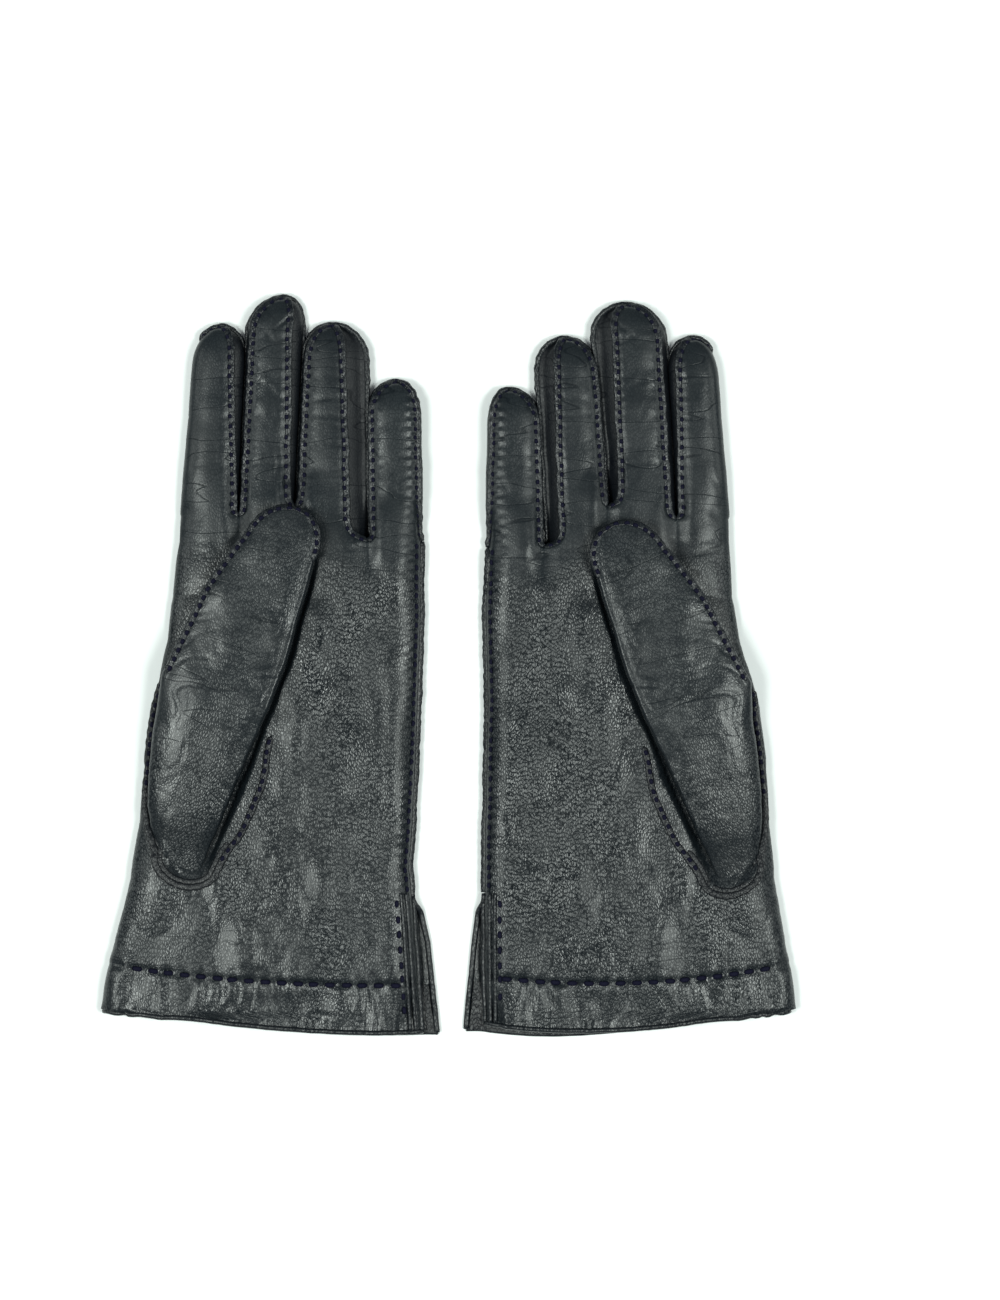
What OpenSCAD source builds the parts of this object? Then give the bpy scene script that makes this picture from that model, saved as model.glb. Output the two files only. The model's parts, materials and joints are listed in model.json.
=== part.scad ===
// A pair of hand-sewn leather gloves, palms up, each lying flat with its thumb folded over the palm.
// X runs across the pair, Y towards the fingertips and Z up from the surface the gloves lie on.
// Each glove is drawn on the +X side with its thumb towards +X; the left one is mirrored.

/* [Leather] */
// Thickness of the leather
skin = 0.9; // [0.7:0.1:1.1]
// Height of the hand part, lying flat
palm_h = 9.5; // [9:0.5:12]
// Height of a finger, lying flat
finger_h = 8.6; // [8.4:0.2:9.4]
// Height of the thumb, lying flat
thumb_h = 8.4; // [8:0.2:9.4]
// Gap left between pieces that are sewn edge to edge
sewn_gap = 0.12; // [0.1:0.02:0.2]

/* [Left fingers: index, middle, ring, little] */
// Distance of each finger's root centre from the pair's middle
left_root_x = [78.2, 59.1, 39.1, 18.5]; // [10:0.1:95]
// Half width of each finger at its root
left_root_w = [9.1, 9.5, 9.9, 9.6]; // [7:0.1:10]
// Y of the line that each finger bends about
left_root_y = [56, 59, 59, 48]; // [44:0.5:62]
// Distance of each fingertip from the pair's middle
left_tip_x = [74.8, 54.6, 38.4, 17.4]; // [10:0.1:95]
// Y of each fingertip
left_tip_y = [112, 121.6, 112.7, 94]; // [90:0.1:125]
// Half width of each finger before its tip rounds off
left_tip_w = [7.4, 8.3, 8.1, 7.7]; // [6:0.1:10]

/* [Right fingers: index, middle, ring, little] */
// Distance of each finger's root centre from the pair's middle
right_root_x = [82.6, 64.2, 43.6, 22.2]; // [10:0.1:95]
// Half width of each finger at its root
right_root_w = [8.2, 9.8, 10.2, 10.2]; // [7:0.1:10.5]
// Y of the line that each finger bends about
right_root_y = [55, 59, 59, 46]; // [44:0.5:62]
// Distance of each fingertip from the pair's middle
right_tip_x = [79.4, 57.6, 37.8, 19.3]; // [10:0.1:95]
// Y of each fingertip
right_tip_y = [108.2, 119.2, 108.2, 91.4]; // [90:0.1:125]
// Half width of each finger before its tip rounds off
right_tip_w = [7, 9, 8.6, 7.6]; // [6:0.1:10]

/* [Cuffs] */
// Y of the left hem at the vent, at the thumb side, and how far it bows between them
left_hem = [-119.4, -112.6, 2.4]; // [-125:0.1:5]
// Y of the right hem at the vent, at the thumb side, and how far it bows between them
right_hem = [-116.6, -112.4, 4.2]; // [-125:0.1:5]
// Y of the top of the vent in each side seam
vent_top = -76; // [-85:1:-65]
// Radius of the rolled binding on the hem
binding_r = 0.85; // [0.6:0.05:1]
// Width of the hem's inner facing
facing_w = 17; // [12:1:20]
// Height of the hem stitching above the hem
hem_stitch_up = 15.5; // [10:0.5:18]

/* [Thumbs] */
// Centre of the line that the left thumb lifts about
left_thumb_root = [76, -8.5]; // [-15:0.5:90]
// Centre of the line that the right thumb lifts about
right_thumb_root = [80.6, -11.5]; // [-15:0.5:90]
// Lean of each thumb towards the fingers' little side, in degrees
thumb_lean = [17.5, 19]; // [14:0.5:21]
// Length from that line to the thumb's tip
thumb_length = [66, 64.5]; // [60:0.5:68]
// Half width and half length of the hole in the palm that the thumb opens from
thumb_hole = [8.5, 19]; // [7:0.5:20]

/* [Thread] */
// Radius of the thread
thread_r = 0.4; // [0.3:0.05:0.5]
// Pitch of the seam stitches
seam_pitch = 3.2; // [2.8:0.1:4]
// Pitch of the hem stitches
hem_pitch = 5.3; // [4.5:0.1:6]

/* [Hidden] */
leather = [0.20, 0.21, 0.23];
lining_leather = [0.15, 0.16, 0.18];
thread_blue = [0.07, 0.07, 0.16];
SIDES = ["left", "right"];
FINGERS = ["index", "middle", "ring", "little"];
FORKS = ["fourchette", "fourchettes", "fourchettes", "fourchette"];
HAND = ["palm_panel", "back_panel", "hem_facing", "cuff_binding", "vent_binding",
        "hem_thread", "side_seam_thread", "thumb_base", "thumb_base_thread"];
THUMB = ["thumb_front", "thumb_back", "thumb_thread"];

// Distance of the glove's thumb-side and vent-side edges from the pair's middle, against Y
thumb_side = [[[-120, 113.6], [-93, 109.9], [-70, 105], [-50, 101.7], [-34, 100.2], [-17, 98.6],
               [-4, 95.3], [9, 92.5], [22, 91], [56, 87.4]],
              [[-120, 113.6], [-93, 110], [-70, 106.6], [-50, 104.6], [-27, 103.4], [-8, 100.6],
               [5, 95.6], [22, 92.6], [56, 90.8]]];
vent_side = [[[-120, 8.2], [-76, 11], [-67, 12], [-44, 10.6], [-11, 9.2], [22, 8.3], [50, 8.5]],
             [[-120, 10.4], [-76, 10], [-44, 10.6], [-11, 11.2], [22, 10.6], [50, 11.8]]];
// Distance of the back panel's free vent edge from the pair's middle, against Y
back_vent = [[[-120, 4.1], [-90, 7.4], [-76, 10.6]], [[-120, 5.2], [-90, 8], [-76, 9.8]]];
hem_y = [left_hem, right_hem];
root_x = [left_root_x, right_root_x];
root_w = [left_root_w, right_root_w];
root_y = [left_root_y, right_root_y];
tip_x = [left_tip_x, right_tip_x];
tip_y = [left_tip_y, right_tip_y];
tip_w = [left_tip_w, right_tip_w];
thumb_root = [left_thumb_root, right_thumb_root];
// The palm's leather ends this far short of the line a finger bends about, so that the finger can stand up
bend_room = 6;
// Length over which a finger's tip rounds off
tip_round = 12;
// Height of the palm panel's rim over the surface, just above the back panel
rim_z = skin + sewn_gap;
// Half width and centre line of the thumb against the distance from its root line
thumb_half = [[0, 18.4], [17, 17.7], [31, 16.4], [48, 13.4], [57, 10.4], [61.5, 7.6], [64.6, 4.6], [66, 1.8]];
thumb_mid = [[0, 0.6], [17, -1.3], [31, -2.2], [48, -4.7], [58, -6.6], [66, -7.2]];
// Edges of the thumb's base, across and along the thumb, from its root line to its lowest point
base_fold = [[-61, -12], [-25, -15.4], [0, -17.7]];
base_seam = [[[-61, -6], [-56, 2.2], [-46, 9.5], [-38, 11.7], [-29, 14], [-18, 16.4], [0, 18]],
             [[-61, -6], [-56, 1.4], [-46, 7.2], [-38, 9.6], [-29, 11.8], [-18, 14.4], [0, 17]]];
base_end = -61;
base_top = -4.6;
base_clear = 0.3;

function mix(a, b, t) = a + (b - a) * t;
function power(v, p) = sign(v) * pow(abs(v), p);
function flat(rows) = [for (r = rows) each r];
function eased(k, n) = (1 - cos(180 * k / n)) / 2;
function hem_line(s, u) = mix(hem_y[s][0], hem_y[s][1], u) - 4 * hem_y[s][2] * u * (1 - u);
function edge_x(s, y, u) = mix(lookup(y, vent_side[s]), lookup(y, thumb_side[s]), u);
function across(s, x, y) = (x - edge_x(s, y, 0)) / (edge_x(s, y, 1) - edge_x(s, y, 0));
// Share of the full height that the flattened hand has, from one side (0) to the other (1)
function crown(u) = sqrt(max(0, 1 - pow(abs(2 * u - 1), 6)));
function palm_top(s, x, y) = mix(rim_z + 0.2, palm_h, crown(min(1, max(0, across(s, x, y)))));
// Point on the thumb's own grid: across it and along it, from the middle of its root line
function on_thumb(s, across, along, z) =
    [thumb_root[s][0] + across * cos(thumb_lean[s]) - along * sin(thumb_lean[s]),
     thumb_root[s][1] + across * sin(thumb_lean[s]) + along * cos(thumb_lean[s]), z];

// Closed sheet of leather between an outer and an inner grid of points of the same size
module sheet(outer, inner) {
    rows = len(outer);
    cols = len(outer[0]);
    half = rows * cols;
    function at(r, c, k = 0) = k * half + r * cols + c;
    function pair(a, b, c, d) = [[a, b, c], [a, c, d]];
    faces = concat(
        flat([for (r = [0:rows - 2]) for (c = [0:cols - 2])
            concat(pair(at(r, c), at(r, c + 1), at(r + 1, c + 1), at(r + 1, c)),
                   pair(at(r, c, 1), at(r + 1, c, 1), at(r + 1, c + 1, 1), at(r, c + 1, 1)))]),
        flat([for (c = [0:cols - 2])
            concat(pair(at(0, c + 1), at(0, c), at(0, c, 1), at(0, c + 1, 1)),
                   pair(at(rows - 1, c), at(rows - 1, c + 1), at(rows - 1, c + 1, 1), at(rows - 1, c, 1)))]),
        flat([for (r = [0:rows - 2])
            concat(pair(at(r, 0), at(r + 1, 0), at(r + 1, 0, 1), at(r, 0, 1)),
                   pair(at(r + 1, cols - 1), at(r, cols - 1), at(r, cols - 1, 1), at(r + 1, cols - 1, 1)))]));
    polyhedron(concat(flat(outer), flat(inner)), faces);
}

// Round cord of leather along a path that never runs straight up
module rolled(path, r) {
    n = 8;
    last = len(path) - 1;
    function ring(k) =
        let (d = path[min(last, k + 1)] - path[max(0, k - 1)],
             side = cross(d, [0, 0, 1]) / norm(cross(d, [0, 0, 1])),
             up = cross(side, d) / norm(d))
        [for (a = [0:n - 1]) path[k] + r * (cos(360 * a / n) * side + sin(360 * a / n) * up)];
    faces = concat(
        [[for (a = [0:n - 1]) n - 1 - a]],
        flat([for (k = [0:last - 1]) for (a = [0:n - 1])
            let (b = (a + 1) % n, i = k * n, j = (k + 1) * n) [[i + a, i + b, j + b], [i + a, j + b, j + a]]]),
        [[for (a = [0:n - 1]) last * n + a]]);
    polyhedron(flat([for (k = [0:last]) ring(k)]), faces);
}

// One stitch of thread from one point to another
module stitch(from, to) {
    d = to - from;
    translate(from)
        rotate([0, acos(d[2] / norm(d)), atan2(d[1], d[0])])
            cylinder(h = norm(d), r = thread_r, $fn = 16);
}

// A row of stitches along a path of points one stitch pitch apart; each covers a share of its pitch
module stitch_row(path, share) {
    for (k = [0:len(path) - 2])
        stitch(mix(path[k], path[k + 1], (1 - share) / 2), mix(path[k], path[k + 1], (1 + share) / 2));
}

module placed(s) {
    if (s == 0) mirror([1, 0, 0]) children();
    else children();
}

// ---- hand ----

// Point of the palm's leather, inset from its outer face: u runs across, v from the hem to the fingers
function palm_point(s, u, v, inset) =
    let (y = mix(hem_line(s, u), max(root_y[s]) - bend_room, v),
         x = edge_x(s, y, u),
         half = (edge_x(s, y, 1) - edge_x(s, y, 0)) / 2,
         mid = (edge_x(s, y, 1) + edge_x(s, y, 0)) / 2)
    [mid + (x - mid) * (1 - inset / half), y,
     max(rim_z, mix(rim_z + 0.2, palm_h, crown(u)) - inset)];
function palm_grid(s, rows, cols, v0, v1, inset) =
    [for (r = [0:rows]) [for (c = [0:cols]) palm_point(s, eased(cols - c, cols), mix(v0, v1, r / rows), inset)]];

module palm_panel(s) {
    color(leather)
        difference() {
            sheet(palm_grid(s, 10, 14, 0, 1, 0), palm_grid(s, 10, 14, 0, 1, skin));
            thumb_opening(s);
            for (f = [0, 3]) finger_room(s, f);
        }
}

// The oval hole in the palm that the thumb's leather is sewn round
module thumb_opening(s) {
    translate(on_thumb(s, -1, -31, palm_h / 2))
        rotate([0, 0, thumb_lean[s]])
            linear_extrude(palm_h)
                polygon([for (a = [0:20:340]) [thumb_hole[0] * cos(a), thumb_hole[1] * sin(a)]]);
}

// Space beyond the palm's end over a finger whose root lies lower than the middle finger's
module finger_room(s, f) {
    low = f == 3 ? 0 : root_x[s][f] - root_w[s][f] - sewn_gap;
    high = f == 3 ? root_x[s][f] + root_w[s][f] + 0.5 : 120;
    translate([low, root_y[s][f] - bend_room, -1]) cube([high - low, 40, palm_h + 2]);
}

// Outline of the flat back, with a tongue under each finger's root
function back_outline(s) = concat(
    [for (k = [0:6]) let (u = k / 6, y = hem_line(s, u))
        [mix(lookup(y, back_vent[s]), lookup(y, thumb_side[s]) - 0.2, u), y]],
    [for (y = [-93, -70, -50, -34, -17, -4, 9, 22]) [lookup(y, thumb_side[s]) - 0.2, y]],
    flat([for (f = [0:3]) let (x = root_x[s][f], w = root_w[s][f], y = root_y[s][f])
        [[x + w, min(y, root_y[s][max(0, f - 1)]) - bend_room], [x + w - 0.3, y - 0.3],
         [x - w + 0.3, y - 0.3], [x - w, min(y, root_y[s][min(3, f + 1)]) - bend_room]]]),
    [for (y = [22, -11, -44, -67, -76, -90]) [y > -76 ? lookup(y, vent_side[s]) + 0.2 : lookup(y, back_vent[s]), y]]);

module back_panel(s) {
    color(leather) linear_extrude(skin) polygon(back_outline(s));
}

// The hem turned up inside the cuff, under the palm's leather and over the back's
module hem_facing(s) {
    gap = skin + sewn_gap;
    v1 = facing_w / (max(root_y[s]) - hem_y[s][0]);
    color(lining_leather) {
        difference() {
            sheet(palm_grid(s, 2, 14, 0.004, v1, gap), palm_grid(s, 2, 14, 0.004, v1, gap + skin * 0.8));
            translate([0, -130, -1]) cube([130, 60, 2 * skin + 2 * sewn_gap + 1.3]);
        }
        translate([0, 0, gap])
            linear_extrude(skin * 0.8)
                polygon(concat(
                    [for (k = [0:6]) let (u = mix(0.06, 0.95, k / 6), y = hem_line(s, u)) [edge_x(s, y, u), y + 0.5]],
                    [for (k = [6:-1:0]) let (u = mix(0.06, 0.95, k / 6), y = hem_line(s, u) + facing_w)
                        [edge_x(s, y, u), y]]));
    }
}

module cuff_binding(s) {
    out = binding_r + sewn_gap;
    color(lining_leather) {
        rolled([for (k = [0:20]) let (u = mix(0.03, 0.985, eased(k, 20)), p = palm_point(s, u, 0, skin / 2))
            [p[0], p[1] - out, max(p[2], 2 * binding_r + out + 0.2)]], binding_r);
        rolled([for (k = [0:8]) let (u = mix(0.01, 0.99, k / 8), y = hem_line(s, u))
            [mix(lookup(y, back_vent[s]), lookup(y, thumb_side[s]), u), y - out, binding_r + sewn_gap]], binding_r);
    }
}

// Binding up the palm's edge of the vent, and down the back's
module vent_binding(s) {
    out = binding_r + sewn_gap;
    low = hem_y[s][0] + 1;
    color(lining_leather) {
        rolled([for (k = [0:6]) let (y = mix(low, vent_top, k / 6))
            [lookup(y, vent_side[s]) - out, y, 2 * binding_r + 1.4]], binding_r);
        rolled([for (k = [0:6]) let (y = mix(low, vent_top - 3, k / 6))
            [lookup(y, back_vent[s]) - out, y, binding_r + sewn_gap]], binding_r);
    }
}

function on_palm(s, x, y) = [x, y, palm_top(s, x, y) + thread_r + 0.1];

module hem_thread(s) {
    // The row stops short of the steep sides, and of the stitches up the vent
    margin = 6;
    from = edge_x(s, hem_y[s][0], 0) + margin;
    n = floor((edge_x(s, hem_y[s][1], 1) - margin - from) / hem_pitch);
    color(thread_blue)
        stitch_row([for (k = [0:n]) let (x = from + k * hem_pitch, u = across(s, x, -100))
            on_palm(s, x, hem_line(s, u) + hem_stitch_up)], 0.6);
}

// Stitches up the vent's edge and the side seam, from the hem to the little finger's root
module side_seam_thread(s) {
    low = hem_y[s][0] + 3;
    n = floor((root_y[s][3] - bend_room - low) / seam_pitch);
    color(thread_blue)
        stitch_row([for (k = [0:n]) let (y = low + k * seam_pitch)
            on_palm(s, lookup(y, vent_side[s]) + (y < vent_top ? 4 : 2.6), y)], 0.6);
}

// ---- thumb ----

// Point on the thumb's base, which swells from the palm towards the thumb's root line
function base_point(s, c, v, inset) =
    let (a = lookup(v, base_fold), b = lookup(v, base_seam[s]), half = (b - a) / 2,
         u = (a + b) / 2 + (c * half) * (1 - inset / max(half, 2 * inset)),
         swell = mix(1.2, thumb_h, pow((v - base_end) / (base_top - base_end), 0.8)),
         p = on_thumb(s, u, v, 0))
    [p[0], p[1], palm_top(s, p[0], p[1]) + base_clear
        + (swell - skin) * sqrt(max(0, 1 - pow(abs(c), 4))) + (inset > 0 ? 0 : skin)];
function base_grid(s, inset) =
    [for (r = [0:9]) [for (c = [0:12])
        base_point(s, 2 * eased(12 - c, 12) - 1, mix(base_end, base_top, r / 9), inset)]];

module thumb_base(s) {
    color(leather) sheet(base_grid(s, 0), base_grid(s, skin));
}

module thumb_base_thread(s) {
    n = floor((base_top - base_end) / seam_pitch);
    color(thread_blue)
        for (side = [-1, 1])
            stitch_row([for (k = [0:n]) let (v = base_end + k * seam_pitch,
                    u = side > 0 ? lookup(v, base_seam[s]) + 1.2 : lookup(v, base_fold) - 2.4,
                    p = on_thumb(s, u, v, 0))
                on_palm(s, min(p[0], edge_x(s, p[1], 0.985)), p[1])], 0.6);
}

// Point on the thumb, at an angle round it that starts at its sewn edge and rises over its face
function thumb_point(s, angle, v, inset) =
    let (k = 66 / thumb_length[s], half = lookup(v * k, thumb_half),
         tall = thumb_h / 2 * pow(min(1, half / 8), 0.8),
         p = on_thumb(s, lookup(v * k, thumb_mid) + max(0.5, half - inset) * power(cos(angle), 0.8), v, 0))
    [p[0], p[1], palm_h + 0.4 + thumb_h / 2 + max(0.4, tall - inset) * power(sin(angle), 0.8)];
function thumb_grid(s, from, to, inset) =
    [for (v = [0.2, 16, 31, 41, 49, 54.5, 58.5, 61.2, 63, 64.2, 65])
        [for (c = [0:10]) thumb_point(s, mix(from, to, c / 10), v * thumb_length[s] / 66, inset)]];

module thumb_front(s) {
    color(leather) sheet(thumb_grid(s, 2, 178, 0), thumb_grid(s, 2, 178, skin));
}

module thumb_back(s) {
    color(leather) sheet(thumb_grid(s, 182, 358, 0), thumb_grid(s, 182, 358, skin));
}

module thumb_thread(s) {
    n = floor((thumb_length[s] - 6) / seam_pitch);
    color(thread_blue)
        stitch_row([for (k = [0:n]) thumb_point(s, 40, 1 + k * seam_pitch, -thread_r - 0.15)], 0.6);
}

// ---- fingers ----

function finger_length(s, f) = tip_y[s][f] - root_y[s][f];
// Point on a finger, at an angle round it that starts on its thumb side and rises over its palm side
function finger_point(s, f, angle, along, inset) =
    let (t = along / finger_length(s, f),
         k = (along - finger_length(s, f) + tip_round) / tip_round,
         blunt = k < 0 ? 1 : sqrt(max(0, 1 - k * k)),
         half = mix(root_w[s][f], tip_w[s][f], t) * blunt,
         tall = finger_h / 2 * pow(blunt, 0.7))
    [mix(root_x[s][f], tip_x[s][f], t) + max(0.5, half - inset) * power(cos(angle), 0.8),
     root_y[s][f] + along,
     finger_h / 2 + max(0.4, tall - inset) * power(sin(angle), 0.8)];
// Stations along a finger, closer together where its tip rounds off
function stations(s, f) =
    let (l = finger_length(s, f))
    concat([0.2, (l - tip_round) * 0.5], [for (k = [0:5]) l - tip_round + tip_round * sin(k * 16.4)]);
function finger_grid(s, f, from, to, cols, inset) =
    [for (a = stations(s, f)) [for (c = [0:cols]) finger_point(s, f, mix(from, to, c / cols), a, inset)]];
module finger_patch(s, f, from, to, cols) {
    sheet(finger_grid(s, f, from, to, cols, 0), finger_grid(s, f, from, to, cols, skin));
}

// The leather over the palm side; on the index it is carried round to the fold at the finger's outer side,
// and on the little finger to the side seam
module finger_front(s, f) {
    color(leather) finger_patch(s, f, f == 0 ? 1 : 36, f == 3 ? 179 : 144, f % 3 == 0 ? 10 : 8);
}

module finger_back(s, f) {
    color(leather) finger_patch(s, f, f == 3 ? 181 : 216, f == 0 ? 359 : 324, f % 3 == 0 ? 10 : 8);
}

// The narrow side pieces of a finger: one on the index and little fingers, two on the others
module finger_forks(s, f) {
    color(lining_leather) {
        if (f > 0) finger_patch(s, f, -34, 34, 4);
        if (f < 3) finger_patch(s, f, 146, 214, 4);
    }
}

module finger_thread(s, f) {
    n = floor((finger_length(s, f) - 5) / seam_pitch);
    color(thread_blue)
        for (side = [0, 1])
            if (side == 1 || f > 0)
                stitch_row([for (k = [0:n])
                    finger_point(s, f, side == 0 ? 42 : 138, 1 + k * seam_pitch, -thread_r - 0.15)], 0.6);
}

for (s = [0, 1]) {
    g = SIDES[s];
    placed(s) palm_panel(s);
    placed(s) back_panel(s);
    placed(s) hem_facing(s);
    placed(s) cuff_binding(s);
    placed(s) vent_binding(s);
    placed(s) hem_thread(s);
    placed(s) side_seam_thread(s);
    placed(s) thumb_base(s);
    placed(s) thumb_base_thread(s);
    placed(s) thumb_front(s);
    placed(s) thumb_back(s);
    placed(s) thumb_thread(s);
    for (f = [0:3]) {
        name = str(g, "_", FINGERS[f], "_");
        placed(s) finger_front(s, f);
        placed(s) finger_back(s, f);
        placed(s) finger_forks(s, f);
        placed(s) finger_thread(s, f);
    }
}
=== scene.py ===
"""A pair of hand-sewn leather gloves, palms up, each with its thumb folded over its palm.

Both gloves are built in one space: millimetres, x outwards from the pair's middle towards the thumb,
y towards the fingertips and z up. The left glove is mirrored as its meshes are made.
"""

import json

import bpy
import numpy as np
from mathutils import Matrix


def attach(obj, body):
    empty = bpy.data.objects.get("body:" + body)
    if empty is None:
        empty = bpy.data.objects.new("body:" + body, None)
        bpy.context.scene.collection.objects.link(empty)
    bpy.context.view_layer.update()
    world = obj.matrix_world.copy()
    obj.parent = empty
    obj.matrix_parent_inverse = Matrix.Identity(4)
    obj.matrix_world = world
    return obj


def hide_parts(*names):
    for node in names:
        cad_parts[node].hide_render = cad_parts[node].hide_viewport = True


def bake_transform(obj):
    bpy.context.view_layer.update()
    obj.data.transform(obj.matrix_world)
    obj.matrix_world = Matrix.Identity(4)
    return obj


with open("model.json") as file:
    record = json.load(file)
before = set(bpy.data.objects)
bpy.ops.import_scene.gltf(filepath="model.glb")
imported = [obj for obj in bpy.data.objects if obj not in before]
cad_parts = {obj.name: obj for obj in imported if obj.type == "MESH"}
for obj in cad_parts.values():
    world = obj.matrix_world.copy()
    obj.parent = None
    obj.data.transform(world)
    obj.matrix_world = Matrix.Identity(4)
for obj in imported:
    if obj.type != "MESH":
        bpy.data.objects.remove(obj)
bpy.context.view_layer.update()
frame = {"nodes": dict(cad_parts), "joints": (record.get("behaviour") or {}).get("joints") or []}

MM = 0.001
UP = np.array([0.0, 0.0, 1.0])
FINGERS = ["little", "ring", "middle", "index"]  # from the vent side to the thumb side
FORKS = {"index": "fourchette", "middle": "fourchettes", "ring": "fourchettes", "little": "fourchette"}

# ---- sizes, in mm ----
STEP = 0.85      # spacing of the skin's rows
ACROSS = 26       # columns over each finger
WALL = 8           # columns over each fourchette
PALM_H = 8.4                        # height of the hand lying flat
FINGER_H = 7.8
SEAM_Z = 2.9                        # height of the side seam
FLOOR_Z = 0.25                      # underside of the back
EDGE_ROLL = 8.5                     # width over which the leather rolls down to an edge
TIP_ROUND = 12.0                    # length over which a fingertip rounds off
BEND_REACH = 7.0                    # half the length of leather that bends at a finger's root
THUMB_REACH = 9.0
HEM_STITCH_UP = 15.5
SEAM_PITCH, HEM_PITCH, VENT_PITCH = 3.2, 5.3, 4.9
THREAD_R = 0.52

# How each finger's leather differs from the CAD's plain finger, at its root and before its tip, in mm:
# how far it reaches past the CAD's vent side and thumb side, and how far in from them its front seams lie.
FIT = {
    "left": {"index": ((0.1, 0.6), (0.6, 1.0), (1.6, 4.4), (0, 0)),
             "middle": ((-1.0, -1.2), (0.0, 2.5), (2.4, 4.4), (1.6, 2.0)),
             "ring": ((2.4, 2.6), (1.2, 1.2), (7.0, 7.6), (1.9, 1.8)),
             "little": ((0.2, 0.2), (-1.8, 1.3), (1.5, 1.5), (1.1, 1.4))},
    "right": {"index": ((0.2, 1.4), (0.4, 0.5), (1.4, 3.4), (0, 0)),
              "middle": ((2.8, 2.5), (-0.4, 2.8), (4.4, 6.8), (2.6, 2.6)),
              "ring": ((2.4, 1.4), (-2.5, 0.3), (5.0, 6.4), (1.2, 1.0)),
              "little": ((0.5, -0.4), (-1.9, 1.5), (1.7, 1.7), (1.1, 1.3))},
}
FORK_Z = 2.9                        # height at which a finger is widest
CUFF_FLARE = {"left": 1.9, "right": 1.0}  # how much wider the cuff's leather spreads than the CAD's
SIDE_SEAM_W = 1.0                   # width left beside the side seam for its sewn edges
TIP_EDGE = 0.9                      # length left at a fingertip for its sewn edges
FINGER_CURVE = 0.8                  # power of the sines that shape a finger's section: 1 is an oval
DEEP_SEAM = 4                       # a seam further in than this shows its fourchette folded
HEM_THREAD_R, HEM_STITCH_L = 0.70, 3.4
VENT_FOLDS, VENT_FOLD_R = (1.9, 3.6), 0.62  # how far in the folds beside the vent lie, and their radius
THUMB_TIP_ROUND = 13                # length over which the thumb's tip rounds off

# ---- noise ----

def lattice(ix, iy, seed):
    """A fixed pseudo-random number from -1 to 1 for each whole-number grid point."""
    n = (ix * 374761393 + iy * 668265263 + seed * 974711) & 0xFFFFFFFF
    n = ((n ^ (n >> 13)) * 1274126177) & 0xFFFFFFFF
    return ((n ^ (n >> 16)) & 0xFFFF) / 32767.5 - 1


def noise(x, y, seed):
    """Smooth noise from -1 to 1 with features about one unit across."""
    ix, iy = np.floor(x).astype(np.int64), np.floor(y).astype(np.int64)
    fx, fy = x - ix, y - iy
    fx, fy = fx * fx * fx * (fx * (fx * 6 - 15) + 10), fy * fy * fy * (fy * (fy * 6 - 15) + 10)
    low = lattice(ix, iy, seed) * (1 - fx) + lattice(ix + 1, iy, seed) * fx
    high = lattice(ix, iy + 1, seed) * (1 - fx) + lattice(ix + 1, iy + 1, seed) * fx
    return low * (1 - fy) + high * fy


def creases(x, y, seed, sharp):
    """Thin valleys, 1 along a crease and 0 away from it, where noise crosses zero."""
    return np.clip(1 - np.abs(noise(x, y, seed)) * sharp, 0, 1) ** 2


def ease(t):
    t = np.clip(t, 0, 1)
    return t * t * (3 - 2 * t)


def mix(a, b, t):
    return a + (b - a) * t


def roll(t):
    """Quarter-round rise from 0 at an edge to 1."""
    t = np.clip(t, 0, 1)
    return np.sqrt(1 - (1 - t) ** 2)


def power(v, p):
    return np.sign(v) * np.abs(v) ** p


def together(*parts):
    """Arrays joined along a new last axis, such as x, y and z into points."""
    return np.stack(parts, axis=-1)


# ---- the glove's outline, read from the CAD frame ----

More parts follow.
